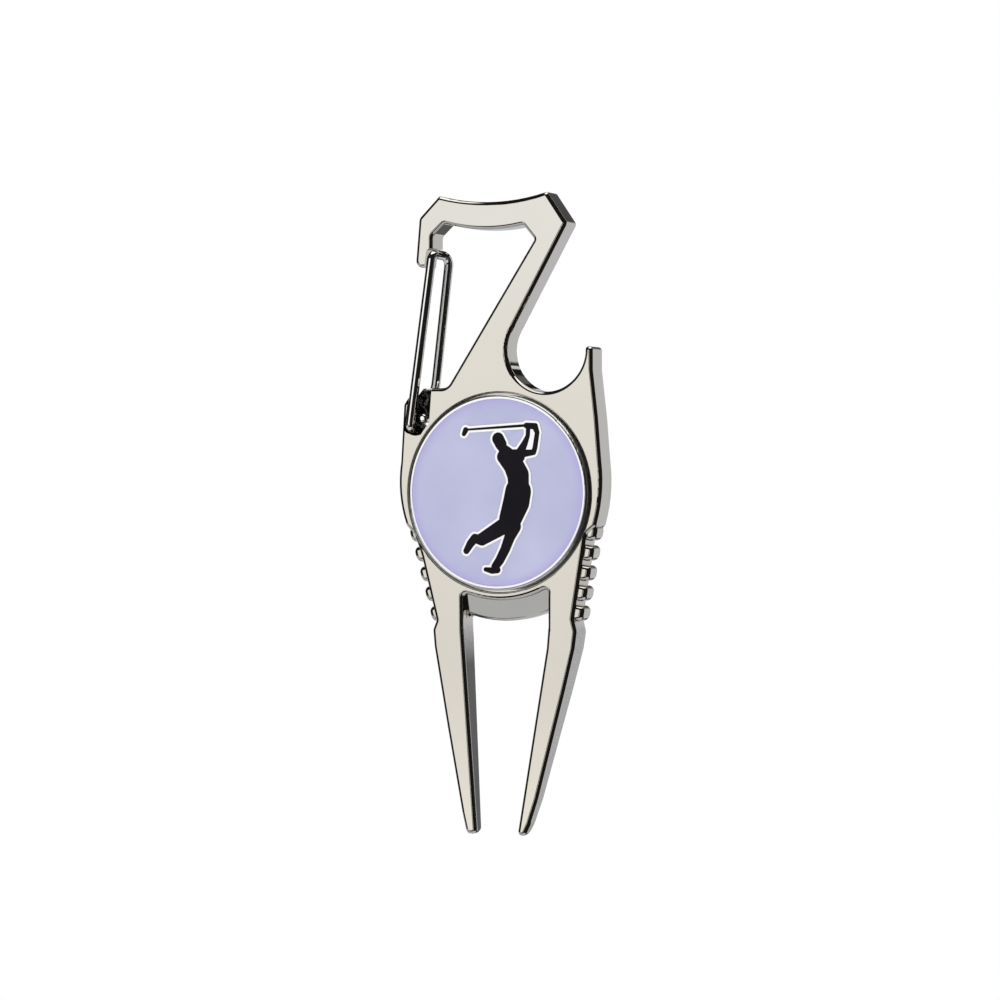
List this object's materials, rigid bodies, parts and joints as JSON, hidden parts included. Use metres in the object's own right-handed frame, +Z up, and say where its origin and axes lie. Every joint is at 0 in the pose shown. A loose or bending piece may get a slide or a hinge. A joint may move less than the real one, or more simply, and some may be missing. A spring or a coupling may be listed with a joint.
{
  "type": "divot repair tool",
  "caption": "Two-pronged golf divot repair tool with a wire-gate carabiner, bottle-opener notch and lift-off magnetic ball marker.",
  "frame": {"origin": "hanging point: middle of the underside of the carabiner's top bar, midway through the thickness", "axes": "+Z up with the prongs pointing down, +Y towards the back face, -Y out of the front face with the marker, +X to the right seen from the front"},
  "size_m": [0.0285, 0.0041, 0.0818],
  "materials": {
    "casting": "polished nickel plating over zinc casting",
    "wire": "bright drawn stainless wire",
    "magnet": "nickel-plated magnet",
    "adhesive": "cured epoxy",
    "marker_metal": "polished nickel plating over struck steel",
    "lavender_enamel": "glossy lavender enamel",
    "black_enamel": "glossy black enamel"
  },
  "bodies": {
    "tool": {"tool_body": "casting", "seat_magnet": "magnet", "magnet_adhesive": "adhesive"},
    "gate": {"wire_gate": "wire"},
    "marker": {"marker_blank": "marker_metal", "ground_enamel": "lavender_enamel", "cell_enamel": "lavender_enamel", "figure_enamel": "black_enamel"}
  },
  "joints": [
    {"name": "gate_hinge", "type": "hinge", "parent": "tool", "child": "gate", "pos_m": [-0.0117, 0, -0.02535], "axis": [0, 1, 0], "range_deg": [0, 17], "stiffness_Nm_per_rad": 0.04, "springref_deg": -9.74},
    {"name": "marker_lift", "type": "slide", "parent": "tool", "child": "marker", "axis": [0, -1, 0], "range_m": [0, 0.012]}
  ]
}
